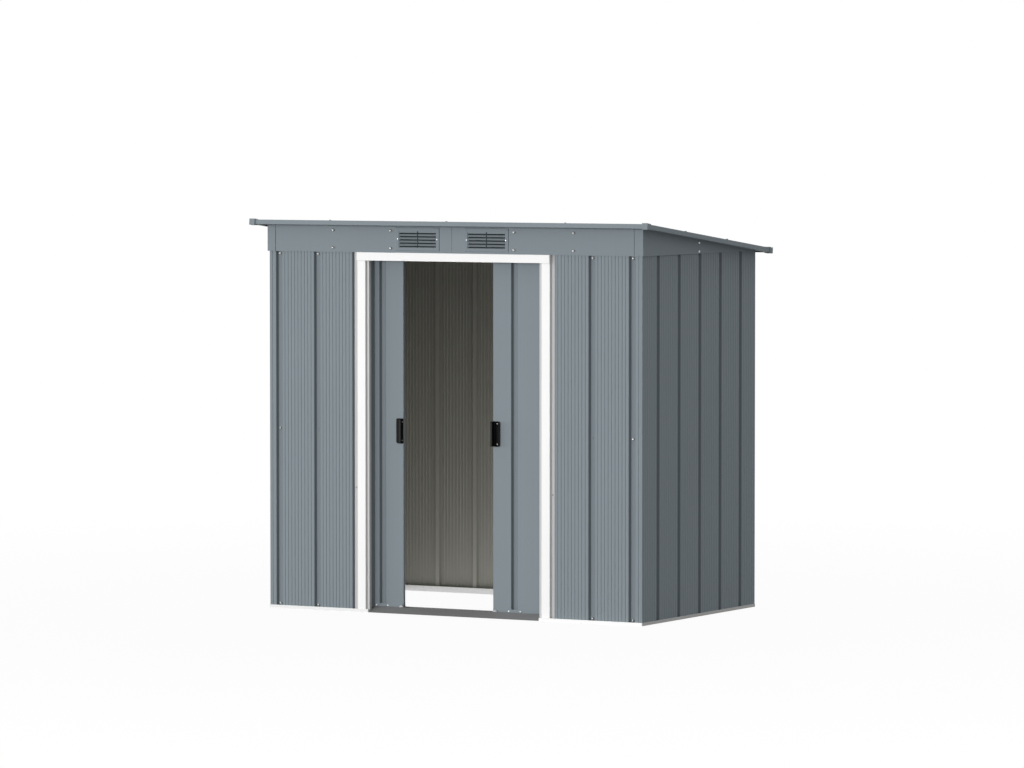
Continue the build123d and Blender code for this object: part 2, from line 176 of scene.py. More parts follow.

# Powder coat and plastic: scales of their patches, heights of their grain, and the painted highlight on the
# plastic
POWDER_PATCH_SCALE = 5.0
PEBBLE_HEIGHT = 0.00012
PLASTIC_PATCH_SCALE = 30.0
ETCHING_HEIGHT = 0.0001
GLOSS_CHANGE = 0.12
RIM_HIGHLIGHT_SHARE = 0.6
RIM_HIGHLIGHT_CHANGE = 0.5
RIM_HIGHLIGHT_DEPTH = 0.002
FRAME_SKIN = Skin(roughness=0.4, grain=700.0, spread=0.03, shine=0.15)
RAIL_SKIN = Skin(roughness=0.42, grain=700.0, spread=0.03, shine=0.15)
VENT_SKIN = Skin(roughness=0.45, grain=500.0, spread=0.03, shine=0.02)
RAMP_SKIN = Skin(roughness=0.5, grain=400.0, spread=0.08, shine=0.15)
HANDLE_SKIN = Skin(roughness=0.5, grain=1400.0, spread=0.08, shine=0.06)
SHOE_SKIN = Skin(roughness=0.5, grain=900.0, spread=0.08, shine=0.2)

# Zinc: scales of its crystals and scratches, changes of tone, and how metallic and rough it is
CRYSTAL_SCALE = 90.0
CRYSTAL_SPREAD = 0.12
FAINT_CRYSTAL_SPREAD = 0.04
SCRATCH_SCALE = 400.0
SCRATCH_HEIGHT = 0.00005
ZINC_METALLIC = 0.85
ZINC_ROUGHNESS = 0.28
CRYSTAL_ROUGHNESS = 0.16
SCRATCH_ROUGHNESS = 0.1

# Lamps: a far strip as the key, in degrees from the front and in metres, and far discs
KEY_TURN = -50
KEY_RISE = 4
KEY_DISTANCE = 80.0
KEY_WIDTH = 96.0
KEY_HEIGHT = 12.0
FILL_AIM = Aim(turn=168, rise=20, spread=40)
BACK_AIM = Aim(turn=190, rise=12, spread=16)
TOP_AIM = Aim(turn=0, rise=90, spread=60)
DISC_DISTANCE = 8.0

# Glow of the ground in the shed: its share in the middle, and its growth per metre rightwards and backwards
GLOW_MIDDLE = 0.65
GLOW_RIGHT = 0.55
GLOW_BACK = 0.6

# Floor and view, in metres, and where the floor's fade starts, as a share of the fade's length
FLOOR_SIZE = 120.0
FLOOR_DROP = 0.0005
FADE_START = 0.5
VIEW_END = 200.0

# Shader colours, and the strength at which a white light shows as plain white
WHITE = (1.0, 1.0, 1.0, 1.0)
BLACK = (0.0, 0.0, 0.0, 1.0)
PLAIN_WHITE = 1.0

# Sockets of the Mix node that carry colours, by number because its other kinds have the same names
MIX_FACTOR = 0
MIX_LOW = 6
MIX_HIGH = 7
MIX_RESULT = 2

# Nodes that share a finish
FRONT_SHEETS = ("left_front_panel", "right_front_panel", "left_header", "right_header")
BACK_SHEETS = ("left_back_panel", "right_back_panel")
ROOF_SHEETS = ("left_roof_sheet", "right_roof_sheet")
DOOR_SHEETS = ("left_door_panel", "right_door_panel")
GREY_PIECES = (
    "left_door_bottom_channel",
    "right_door_bottom_channel",
    "left_door_top_channel",
    "right_door_top_channel",
    "front_roof_trim",
    "roof_corner_caps",
    "top_track",
)
VENTS = ("left_vent", "right_vent")
WHITE_FRAME = ("left_jamb", "right_jamb", "door_head_bar")
JAMB_LINERS = ("left_jamb_liner", "right_jamb_liner")
SIDE_RAILS = ("left_base_rail", "right_base_rail")
THRESHOLD = ("threshold_ramp", "bottom_track")
ZINC_RAILS = ("roof_beam", "back_top_rail")
ROLLERS = ("left_door_rollers", "right_door_rollers")
HANDLES = ("left_door_handle", "right_door_handle")
SHOES = ("left_door_shoes", "right_door_shoes")

# Nodes that throw no shadow from the key lamp
KEY_PASSES = VENTS + ("left_header", "right_header", "left_jamb", "left_jamb_liner")


def colour_setting(name, default, description):
    """A colour that the user can change."""
    return FloatVectorProperty(
        name=name, description=description, default=default, subtype="COLOR", size=3, min=0.0, max=1.0
    )


def length_setting(name, default, description):
    """A length that the user can change, in metres."""
    return FloatProperty(
        name=name, description=description, default=default, subtype="DISTANCE", unit="LENGTH", min=0.0
    )


def angle_setting(name, default, description):
    """An angle that the user can change, in radians."""
    return FloatProperty(name=name, description=description, default=default, subtype="ANGLE")


def strength_setting(name, default, description):
    """The strength of a light, which the user can change."""
    return FloatProperty(name=name, description=description, default=default, min=0.0)


class ShedCoats(PropertyGroup):
    """Colours of the shed's finishes, and of the light and shade painted onto some of them."""

    sheet: colour_setting("Sheet", (0.214, 0.25, 0.272), "Outer coat of walls, doors and roof")
    back_coat: colour_setting("Back coat", (0.5, 0.494, 0.448), "Inner side of the wall and door sheets")
    # Painted shade: near-black for the inner side of the roof and its trims, under the overhang
    roof_lining_shade: colour_setting("Roof lining", (0.06, 0.063, 0.066), "Inner side of the roof and its trims")
    white: colour_setting("White", (0.88, 0.88, 0.875), "Door jambs and the bar over the doorway")
    # Painted shade: grey for the jambs' flanges and returns, where the jamb's own shadow falls
    white_return_shade: colour_setting("White return", (0.52, 0.52, 0.52), "Flanges and returns of the jambs")
    liner: colour_setting("Liner", (0.165, 0.19, 0.205), "Liners behind the door jambs")
    rail: colour_setting("Rail", (0.81, 0.81, 0.805), "Front base rails")
    # Painted shade: a darker copy of the rail colour for the rails under the side walls
    side_rail_shade: colour_setting("Side rail", (0.46, 0.46, 0.455), "Base rails under the side walls")
    # Painted light: a paler zinc for the back wall's base rail, which stands in the shade inside
    back_rail_lit: colour_setting("Back rail", (0.95, 0.95, 0.95), "Bright zinc of the back wall's base rail")
    ramp: colour_setting("Ramp", (0.19, 0.19, 0.191), "Sloped threshold and the track behind it")
    # Painted shade: near-black for the vents' blades behind their plates and for their middle bars
    louvre_shade: colour_setting("Louvre", (0.045, 0.055, 0.06), "Blades of the vents, behind their plates")
    # Zinc of rails and rollers; on fasteners that stand in the shade it serves as painted light
    zinc: colour_setting("Zinc", (0.62, 0.63, 0.64), "Clean zinc of rails, rollers and some fasteners")
    bolt: colour_setting("Bolt", (0.24, 0.24, 0.24), "Dull zinc of most bolts and screws")
    handle: colour_setting("Handle", (0.004, 0.004, 0.004), "Black door pulls")
    # Painted highlight: paler rims of the door pulls, where they catch the light
    handle_rim_highlight: colour_setting("Handle wear", (0.022, 0.022, 0.022), "Rubbed rims of the door pulls")
    shoe: colour_setting("Shoe", (0.45, 0.45, 0.445), "Pale guide shoes")


class ShedFasteners(PropertyGroup):
    """Sizes of the bolts and screws."""

    washer_radius: length_setting("Washer radius", 0.0056, "Radius of a bolt's washer")
    washer_height: length_setting("Washer height", 0.0012, "Thickness of a bolt's washer")
    head_radius: length_setting("Head radius", 0.0042, "Radius of a bolt's head")
    head_height: length_setting("Head height", 0.0026, "Height of a bolt's head above its washer")
    slot_width: length_setting("Slot width", 0.0012, "Width of a bolt's cross recess")
    screw_radius: length_setting("Screw radius", 0.0036, "Radius of a small screw's head")
    screw_height: length_setting("Screw height", 0.0018, "Height of a small screw's head")


class ShedStudio(PropertyGroup):
    """Camera, lights and floor."""

    camera_place: FloatVectorProperty(
        name="Camera place",
        description="Where the camera stands",
        default=(12.4483, -22.3832, 2.29305),
        subtype="TRANSLATION",
        unit="LENGTH",
    )
    camera_turn: angle_setting("Camera turn", 0.50745636, "Turn of the camera to the left")
    camera_dip: angle_setting("Camera dip", 0.04987276, "Downward tilt of the camera")
    camera_lens: FloatProperty(
        name="Camera lens",
        description="Focal length in millimetres",
        default=198.97,
        subtype="DISTANCE_CAMERA",
    )
    key_strength: strength_setting("Key strength", 3.55, "Soft lamp in front, left")
    fill_strength: strength_setting("Fill strength", 0.3, "Soft lamp behind, right")
    back_strength: strength_setting("Back strength", 1.3, "Soft lamp behind, left")
    top_strength: strength_setting("Top strength", 0.8, "Soft lamp overhead")
    sky_strength: strength_setting("Sky strength", 0.53, "Even light from all round")
    ground_strength: strength_setting("Ground strength", 0.08, "Even light from below")
    inner_strength: strength_setting("Inner strength", 0.92, "Light from the ground inside the shed")
    floor: colour_setting("Floor", (0.3, 0.3, 0.3), "Floor, as light falls on it")
    floor_white: FloatProperty(
        name="Floor white",
        description="Share of plain white that the floor shows near the shed",
        default=0.965,
        subtype="FACTOR",
    )
    floor_fade: length_setting("Floor fade", 4.0, "Length over which the floor fades to plain white")


class Wire:
    """A shader socket that takes part in sums; each sum adds its Math node."""

    def __init__(self, tree, socket=None):
        self.tree = tree
        self.socket = socket

    def node(self, kind, settings=None, sockets=None, output=0):
        """Any node: its settings first, then the values or links of its sockets."""
        made = self.tree.nodes.new(kind)
        for name, value in (settings or {}).items():
            setattr(made, name, value)
        for name, value in (sockets or {}).items():
            if isinstance(value, Wire):
                self.tree.links.new(value.socket, made.inputs[name])
            else:
                made.inputs[name].default_value = value
        return Wire(self.tree, made.outputs[output] if made.outputs else None)

    def sum(self, operation, left, right):
        """One Math node on two values or wires."""
        return self.node("ShaderNodeMath", {"operation": operation}, {0: left, 1: right})

    def __add__(self, other):
        return self.sum("ADD", self, other)

    def __sub__(self, other):
        return self.sum("SUBTRACT", self, other)

    def __mul__(self, other):
        return self.sum("MULTIPLY", self, other)

    def __truediv__(self, other):
        return self.sum("DIVIDE", self, other)

    def __gt__(self, other):
        return self.sum("GREATER_THAN", self, other)

    def __lt__(self, other):
        return self.sum("LESS_THAN", self, other)

    def __radd__(self, other):
        return self.sum("ADD", other, self)

    def __rsub__(self, other):
        return self.sum("SUBTRACT", other, self)

    def __rmul__(self, other):
        return self.sum("MULTIPLY", other, self)

    def __rtruediv__(self, other):
        return self.sum("DIVIDE", other, self)


def bare_wire(owner):
    """A wire to build on, in the emptied node tree of a material or world."""
    owner.use_nodes = True
    owner.node_tree.nodes.clear()
    return Wire(owner.node_tree)


def start_material(name):
    """An empty node material and a wire to build on."""
    material = bpy.data.materials.new(name)
    return material, bare_wire(material)


def rgba(value):
    """A colour property as a shader value."""
    return (*value, 1.0)


def scaled(base, share):
    """A colour made darker or lighter by a share."""
    return [min(value * share, 1.0) for value in base]


def mix(wire, factor, low, high):
    """Colour between two colours."""
    sockets = {MIX_FACTOR: factor, MIX_LOW: low, MIX_HIGH: high}
    return wire.node("ShaderNodeMix", {"data_type": "RGBA"}, sockets, output=MIX_RESULT)


def mix_shaders(wire, factor, low, high):
    """Shader between two shaders."""
    return wire.node("ShaderNodeMixShader", {}, {0: factor, 1: low, 2: high})


def tinted(wire, base, tone, spread):
    """A base colour made a little darker and lighter by a tone of 0 to 1."""
    return mix(wire, tone, rgba(scaled(base, 1 - spread)), rgba(scaled(base, 1 + spread)))


def object_place(wire):
    """Place in the shed's frame, in metres."""
    return wire.node("ShaderNodeTexCoord", output="Object")


def place_along(wire, axis):
    """Place along X, Y or Z."""
    return wire.node("ShaderNodeSeparateXYZ", {}, {0: object_place(wire)}, output=axis)


def reach_along(wire, vector, direction):
    """How far a vector reaches along a direction."""
    sockets = {0: vector, 1: tuple(direction)}
    return wire.node("ShaderNodeVectorMath", {"operation": "DOT_PRODUCT"}, sockets, output="Value")


def facing(wire, direction):
    """How far a face turns towards a direction, from -1 to 1."""
    normal = wire.node("ShaderNodeNewGeometry", output="True Normal")
    return reach_along(wire, normal, direction)


def size_of(wire, value):
    """A value without its sign."""
    return wire.node("ShaderNodeMath", {"operation": "ABSOLUTE"}, {0: value})


def clamped(wire, value):
    """A value kept from 0 to 1."""
    return wire.node("ShaderNodeClamp", {}, {"Value": value})


def noise(wire, scale, detail=2.0, stretch=(1.0, 1.0, 1.0)):
    """Even noise of about one over scale metres, drawn out along an axis where stretch is small there."""
    place = wire.node("ShaderNodeMapping", {}, {"Vector": object_place(wire), "Scale": stretch})
    return wire.node("ShaderNodeTexNoise", {}, {"Vector": place, "Scale": scale, "Detail": detail})


def bump(wire, height, distance):
    """Normal of a surface with small heights on it."""
    return wire.node("ShaderNodeBump", {}, {"Height": height, "Distance": distance})


def close_material(material, wire, sockets):
    """Finish a material with one Principled shader."""
    shader = wire.node("ShaderNodeBsdfPrincipled", {}, sockets)
    wire.node("ShaderNodeOutputMaterial", {}, {"Surface": shader})
    return material


def jamb_painted_shade(wire):
    """Painted shade: from 0 on the face of a door jamb to 1 on its flanges, with a painted shadow line in
    the joint under the bar.
    """
    behind = clamped(wire, (place_along(wire, "Y") - (JAMB_LOW.y + JAMB_SHADE_START)) / JAMB_SHADE_REACH)
    height = place_along(wire, "Z")
    joint_shadow = (height > BAR_LOW.z - JOINT_SHADOW_HEIGHT) * (height < BAR_LOW.z) * JOINT_SHADOW_SHARE
    return clamped(wire, behind + joint_shadow)


def vent_painted_shade(wire):
    """Painted shade: from 0 on a vent's plate to 1 deep among the blades in its window and on its middle
    bar.
    """
    off_middle = size_of(wire, size_of(wire, place_along(wire, "X")) - (VENT_LOW.x + VENT_HIGH.x) / 2)
    height = place_along(wire, "Z")
    across = off_middle < (VENT_HIGH.x - VENT_LOW.x) / 2 - VENT_SIDE_BORDER
    upright = (height > VENT_LOW.z + VENT_SILL_BORDER) * (height < VENT_HIGH.z - VENT_HEAD_BORDER)
    depth = (place_along(wire, "Y") - VENT_LOW.y) / BLADE_SHADE_REACH + BLADE_EDGE_SHADE
    return across * upright * clamped(wire, depth + (off_middle < MULLION_HALF))


def groove_depth(wire, outward, land):
    """From 0 on the lands of a sheet to 1 in its grooves."""
    reach = reach_along(wire, object_place(wire), outward)
    return clamped(wire, ((land - GROOVE_SHADE_START) - reach) / GROOVE_SHADE_REACH)


def groove_painted_shade(deep, turned):
    """How dark the painted shade is in a sheet's grooves: none on the lands, most on the steep sides."""
    return deep * (turned > EDGE_TURN) * ((FLOOR_SHADE + SIDE_SHADE) - turned * SIDE_SHADE)


def inner_side(wire, turned, span):
    """1 on the inner side of a sheet, kept to a span of depth where one is given."""
    inside = turned < INNER_TURN
    if span is not None:
        depth = place_along(wire, "Y")
        inside = inside * (depth > span[0]) * (depth < span[1])
    return inside


def coil_coat(name, outer, inner=None, outward=None, land=None, span=None):
    """Coil-coated sheet with faint rolling streaks and orange peel.

    An inner colour coats the side that faces away from outward, within a span of depth where one is given.
    A land, how far the sheet's lands reach along outward, puts painted shade in its grooves. The ridges that
    the grooves make inside are then painted lighter and their steep sides painted dark, as painted light and
    shade.
    """
    material, wire = start_material(name)
    streaks = noise(wire, scale=1.0, detail=3.0, stretch=STREAK_STRETCH)
    tone = (streaks + noise(wire, CLOUD_SCALE)) / 2
    base = tinted(wire, outer, tone, COIL_SPREAD)
    roughness = COIL_ROUGHNESS + streaks * STREAK_ROUGHNESS
    if inner is not None:
        turned = facing(wire, outward)
        back = tinted(wire, inner, tone, INNER_SPREAD)
        if land is not None:
            deep = groove_depth(wire, outward, land)
            # Painted shade: groove floors a little darker and steep sides much darker, towards black
            painted_shade = groove_painted_shade(deep, turned)
            base = mix(wire, painted_shade, base, BLACK)
            roughness = roughness + painted_shade * GROOVE_SHADE_ROUGHNESS
            # Painted light and shade inside: ridges painted lighter, their steep sides darkened towards
            # black
            back = mix(wire, deep, back, tinted(wire, scaled(inner, RIDGE_PAINTED_LIGHT), tone, INNER_SPREAD))
            back = mix(wire, clamped(wire, deep * (turned + 1)), back, BLACK)
        inside = inner_side(wire, turned, span)
        base = mix(wire, inside, base, back)
        roughness = roughness + inside * INNER_ROUGHNESS
    coarse_peel = noise(wire, PEEL_SCALE, detail=1.0)
    fine_peel = noise(wire, FINE_PEEL_SCALE, detail=1.0)
    peel = coarse_peel * PEEL_SHARE + fine_peel * FINE_PEEL_SHARE
    return close_material(
        material,
        wire,
        {
            "Base Color": base,
            "Roughness": roughness,
            "Specular IOR Level": COIL_SHINE,
            "Normal": bump(wire, peel, PEEL_HEIGHT),
        },
    )


def powder_coat(name, base_colour, skin, recess=None, recess_shade_colour=None):
    """Baked powder coat: fine pebbles, slight changes of gloss, and painted shade in its recesses."""
    material, wire = start_material(name)
    patches = noise(wire, POWDER_PATCH_SCALE, detail=3.0)
    pebbles = noise(wire, skin.grain)
    base = tinted(wire, base_colour, patches, skin.spread)
    if recess is not None:
        base = mix(wire, recess(wire), base, tinted(wire, recess_shade_colour, patches, skin.spread))
    return close_material(
        material,
        wire,
        {
            "Base Color": base,
            "Roughness": patches * GLOSS_CHANGE + (skin.roughness - GLOSS_CHANGE / 2),
            "Specular IOR Level": skin.shine,
            "Normal": bump(wire, pebbles, PEBBLE_HEIGHT),
        },
    )


def moulded_plastic(name, base_colour, skin, highlight_colour=None, highlight_depth=None):
    """Moulded plastic with a fine etched grain, painted paler in front of a depth as a highlight."""
    material, wire = start_material(name)
    patches = noise(wire, PLASTIC_PATCH_SCALE)
    etching = noise(wire, skin.grain, detail=1.0)
    base = tinted(wire, base_colour, patches, skin.spread)
    if highlight_colour is not None:
        # Painted highlight on the parts in front of the depth
        rim_highlight = (place_along(wire, "Y") < highlight_depth) * (patches * RIM_HIGHLIGHT_CHANGE + RIM_HIGHLIGHT_SHARE)
        base = mix(wire, rim_highlight, base, rgba(highlight_colour))
    return close_material(
        material,
        wire,
        {
            "Base Color": base,
            "Roughness": patches * GLOSS_CHANGE + (skin.roughness - GLOSS_CHANGE / 2),
            "Specular IOR Level": skin.shine,
            "Normal": bump(wire, etching, ETCHING_HEIGHT),
        },
    )


def galvanised(name, base_colour, spread=CRYSTAL_SPREAD):
    """Hot-dip zinc: flat crystals of differing grey, each with its own gloss."""
    material, wire = start_material(name)
    cells = {"Vector": object_place(wire), "Scale": CRYSTAL_SCALE}
    crystals = wire.node("ShaderNodeTexVoronoi", {}, cells, output="Color")
    shade = wire.node("ShaderNodeSeparateColor", {}, {0: crystals}, output="Red")
    scratches = noise(wire, SCRATCH_SCALE)
    return close_material(
        material,
        wire,
        {
            "Base Color": tinted(wire, base_colour, shade, spread),
            "Metallic": ZINC_METALLIC,
            "Roughness": shade * CRYSTAL_ROUGHNESS + scratches * SCRATCH_ROUGHNESS + ZINC_ROUGHNESS,
            "Normal": bump(wire, scratches, SCRATCH_HEIGHT),
        },
    )


def material_named(name, maker, *values):
    """A material that several operators share, made the first time."""
    return bpy.data.materials.get(name) or maker(name, *values)


def bolt_zinc():
    """Dull zinc of most bolts and screws."""
    return material_named("bolt_zinc", galvanised, bpy.context.scene.shed_coats.bolt)


def clean_zinc():
    """Painted light: paler zinc of the fasteners that stand in the shade."""
    return material_named("clean_zinc", galvanised, bpy.context.scene.shed_coats.zinc)


def grey_coat():
    """Plain grey of the trims, the door channels and the coated screws."""
    return material_named("trim_coat", coil_coat, bpy.context.scene.shed_coats.sheet)


def coat(nodes, material):
    """Give CAD nodes a material in place of their plain one."""
    for name in nodes:
        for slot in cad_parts[name].material_slots:
            slot.material = material


def select_only(picked):
    """Select one object and nothing else."""
    bpy.ops.object.select_all(action="DESELECT")
    picked.select_set(True)
    bpy.context.view_layer.objects.active = picked


def select_faces(model, wanted):
    """In edit mode, select the faces whose centre and normal pass a test."""
    bpy.ops.mesh.select_all(action="DESELECT")
    bpy.ops.mesh.select_mode(type="FACE")
    bpy.ops.object.mode_set(mode="OBJECT")
    for face in model.data.polygons:
        face.select = wanted(face.center, face.normal)
    bpy.ops.object.mode_set(mode="EDIT")


def topmost(model):
    """A test for the level face on top of a model."""
    top = max(vertex.co.z for vertex in model.data.vertices)
    return lambda centre, normal: normal.z > LEVEL_TURN and centre.z > top - LEVEL_GAP


def start_head(sides, radius, height):
    """A low disc that stands on the origin along +Z, left in edit mode."""
    bpy.ops.object.select_all(action="DESELECT")
    bpy.ops.mesh.primitive_cylinder_add(
        vertices=sides, radius=radius, depth=height, location=(0, 0, height / 2)
    )
    bpy.ops.object.transform_apply(location=True)
    bpy.ops.object.mode_set(mode="EDIT")
    return bpy.context.object


def raise_dome(model, height, steps):
    """Extrude the top face upwards step by step, drawing it in each time to a share of its size."""
    for rise_share, share in steps:
        select_faces(model, topmost(model))
        bpy.ops.mesh.extrude_region_move(TRANSFORM_OT_translate={"value": (0, 0, height * rise_share)})
        bpy.ops.transform.resize(value=(share, share, 1))


def cut_cross(model, reach, width, depth, top):
    """Leave edit mode and cut a cross recess into the top of a head."""
    bpy.ops.object.mode_set(mode="OBJECT")
    for across, along in ((reach, width), (width, reach)):
        bpy.ops.mesh.primitive_cube_add(size=1, location=(0, 0, top))
        cutter = bpy.context.object
        cutter.scale = (across, along, depth * 2)
        bpy.ops.object.transform_apply(location=True, rotation=True, scale=True)
        select_only(model)
        cut = model.modifiers.new("cross", "BOOLEAN")
        cut.operation = "DIFFERENCE"
        cut.object = cutter
        bpy.ops.object.modifier_apply(modifier=cut.name)
        bpy.data.objects.remove(cutter)
    bpy.ops.object.shade_smooth_by_angle(angle=SMOOTH_ANGLE)


def model_bolt(sizes):
    """A pan-head bolt on its washer, standing on the origin along +Z."""
    bolt = start_head(BOLT_SIDES, sizes.washer_radius, sizes.washer_height)
    select_faces(bolt, topmost(bolt))
    bpy.ops.mesh.inset(thickness=sizes.washer_radius - sizes.head_radius)
    raise_dome(bolt, sizes.head_height, BOLT_DOME)
    cross_depth = sizes.head_height * BOLT_CROSS_DEPTH
    top = sizes.washer_height + sizes.head_height
    cut_cross(bolt, sizes.head_radius, sizes.slot_width, cross_depth, top)
    return bolt


def model_screw(sizes):
    """A small screw head, a low dome with a cross recess."""
    screw = start_head(SCREW_SIDES, sizes.screw_radius, sizes.screw_height * SCREW_RIM)
    raise_dome(screw, sizes.screw_height, SCREW_DOME)
    cross_width = sizes.slot_width * SCREW_CROSS_WIDTH
    cross_depth = sizes.screw_height * SCREW_CROSS_DEPTH
    cut_cross(screw, sizes.screw_radius, cross_width, cross_depth, sizes.screw_height)
    return screw


def mirrored(xs):
    """Each distance from the middle, on the left and on the right."""
    return [side * x for x in xs for side in (-1, 1)]


def on_face(y, direction, xs, heights):
    """Places on an upright face that looks forwards or backwards."""
    return [(Vector((x, y, z)), direction) for x in xs for z in heights]


def place_copies(model, name, places, body, material):
    """Copy a fastener to every place, join the copies into one piece and let it ride on a body."""
    model.data.materials.clear()
    model.data.materials.append(material)
    bpy.ops.object.select_all(action="DESELECT")
    for index, (place, direction) in enumerate(places):
        mesh = model.data.copy()
        turn = UP.rotation_difference(direction).to_matrix().to_4x4()
        spin = Matrix.Rotation(index * SPIN_STEP, 4, "Z")
        mesh.transform(Matrix.Translation(place) @ turn @ spin)
        copy = bpy.data.objects.new(name, mesh)
        bpy.context.scene.collection.objects.link(copy)
        copy.select_set(True)
        bpy.context.view_layer.objects.active = copy
    bpy.ops.object.join()
    piece = bpy.context.object
    piece.name = name
    bpy.data.objects.remove(model)
    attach(piece, body)


class SHED_OT_coat_walls(Operator):
    """Coat the wall, door and roof sheets, with their back coat inside"""

    bl_idname = "shed.coat_walls"
    bl_label = "Coat Sheets"

    def execute(self, context):
        coats = context.scene.shed_coats
        walls = (
            ("front_sheet_coat", FRONT_SHEETS, FORWARD, -PANEL_LOW.y),
            ("left_sheet_coat", ("left_wall",), LEFT, PANEL_HIGH.x),
            ("right_sheet_coat", ("right_wall",), RIGHT, PANEL_HIGH.x),
            ("back_sheet_coat", BACK_SHEETS, BACKWARD, BACK_HIGH.y),
        )
        # Each wall's land puts painted shade in its grooves
        for name, nodes, outward, land in walls:
            coat(nodes, coil_coat(name, coats.sheet, coats.back_coat, outward, land))
        gable_span = (PANEL_LOW.y, BACK_HIGH.y)
        for node, outward in (("left_gable", LEFT), ("right_gable", RIGHT)):
            finish = coil_coat(node + "_coat", coats.sheet, coats.back_coat, outward, span=gable_span)
            coat((node,), finish)
        # Painted shade on the underside of the roof sheets
        coat(ROOF_SHEETS, coil_coat("roof_sheet_coat", coats.sheet, coats.roof_lining_shade, UP))
        leaf_front, leaf_back = [corner.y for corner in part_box("left_door_panel")]
        leaf_span = (leaf_front, leaf_back - SHEET)
        # The leaves' land puts painted shade in their grooves
        leaf = coil_coat("door_coat", coats.sheet, coats.back_coat, FORWARD, -leaf_front, leaf_span)
        coat(DOOR_SHEETS, leaf)
        # Painted shade on the inner faces of the trims
        trims = (("back_roof_trim", BACKWARD), ("left_roof_trim", LEFT), ("right_roof_trim", RIGHT))
        for node, outward in trims:
            coat((node,), coil_coat(node + "_coat", coats.sheet, coats.roof_lining_shade, outward))
        coat(GREY_PIECES, grey_coat())
        return {"FINISHED"}


class SHED_OT_coat_vents(Operator):
    """Coat the louvred vent plates"""

    bl_idname = "shed.coat_vents"
    bl_label = "Coat Vents"

    def execute(self, context):
        coats = context.scene.shed_coats
        # Painted shade darkens the vents' blades and middle bars
        coat(VENTS, powder_coat("vent_coat", coats.sheet, VENT_SKIN, vent_painted_shade, coats.louvre_shade))
        return {"FINISHED"}


class SHED_OT_coat_frame(Operator):
    """Coat the door frame, base rails, threshold and track"""

    bl_idname = "shed.coat_frame"
    bl_label = "Coat Frame"

    def execute(self, context):
        coats = context.scene.shed_coats
        # Painted shade on the jambs' flanges and returns, and a painted shadow line under the bar
        white = powder_coat("white_coat", coats.white, FRAME_SKIN, jamb_painted_shade, coats.white_return_shade)
        coat(WHITE_FRAME, white)
        coat(JAMB_LINERS, powder_coat("liner_coat", coats.liner, RAIL_SKIN))
        coat(("front_base_rails",), powder_coat("rail_coat", coats.rail, RAIL_SKIN))
        # Painted shade on the side base rails
        coat(SIDE_RAILS, powder_coat("side_rail_shade_coat", coats.side_rail_shade, RAIL_SKIN))
        coat(THRESHOLD, powder_coat("ramp_coat", coats.ramp, RAMP_SKIN))
        return {"FINISHED"}


class SHED_OT_finish_fittings(Operator):
    """Finish the zinc rails, rollers, handles and guide shoes"""

    bl_idname = "shed.finish_fittings"
    bl_label = "Finish Fittings"

    def execute(self, context):
        coats = context.scene.shed_coats
        coat(ZINC_RAILS, galvanised("rail_zinc", coats.zinc))
        # Painted light on the back base rail
        coat(("back_base_rail",), galvanised("back_rail_lit_zinc", coats.back_rail_lit, FAINT_CRYSTAL_SPREAD))
        coat(ROLLERS, galvanised("roller_zinc", coats.zinc))
        # Painted highlight on the rims of the door pulls
        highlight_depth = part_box("left_door_handle")[0].y + RIM_HIGHLIGHT_DEPTH
        pull = moulded_plastic("handle_plastic", coats.handle, HANDLE_SKIN, coats.handle_rim_highlight, highlight_depth)
        coat(HANDLES, pull)
        coat(SHOES, moulded_plastic("shoe_plastic", coats.shoe, SHOE_SKIN))
        return {"FINISHED"}


class SHED_OT_panel_bolts(Operator):
    """Bolt the front and back panels to their rails through the groove floors, and screw the jambs on"""

    bl_idname = "shed.panel_bolts"
    bl_label = "Panel Bolts"

    def execute(self, context):
        sizes = context.scene.shed_fasteners
        low, middle, high = PANEL_BOLT_HEIGHTS
        first_groove = PANEL_HIGH.x - CORNER_TO_GROOVE
        next_grooves = mirrored((first_groove - GROOVE_PITCH,))
        groove_floor = PANEL_HIGH.y - SHEET
        front = on_face(groove_floor, FORWARD, mirrored((first_groove,)), PANEL_BOLT_HEIGHTS)
        front += on_face(groove_floor, FORWARD, next_grooves, (low, high))
        place_copies(model_bolt(sizes), "front_panel_bolts", front, "shed", bolt_zinc())
        coated = on_face(groove_floor, FORWARD, next_grooves, (middle,))
        place_copies(model_screw(sizes), "front_panel_screws", coated, "shed", grey_coat())
        back_grooves = mirrored([first_groove - GROOVE_PITCH * count for count in BACK_BOLT_GROOVES])
        back = on_face(BACK_LOW.y + SHEET, BACKWARD, back_grooves, BACK_BOLT_HEIGHTS)
        place_copies(model_bolt(sizes), "back_panel_bolts", back, "shed", bolt_zinc())
        flanges = mirrored((JAMB_HIGH.x - JAMB_SCREW_INSET,))
        jambs = on_face(PANEL_HIGH.y - 2 * SHEET, FORWARD, flanges, (JAMB_SCREW_HEIGHT,))
        place_copies(model_screw(sizes), "jamb_screws", jambs, "shed", bolt_zinc())
        return {"FINISHED"}


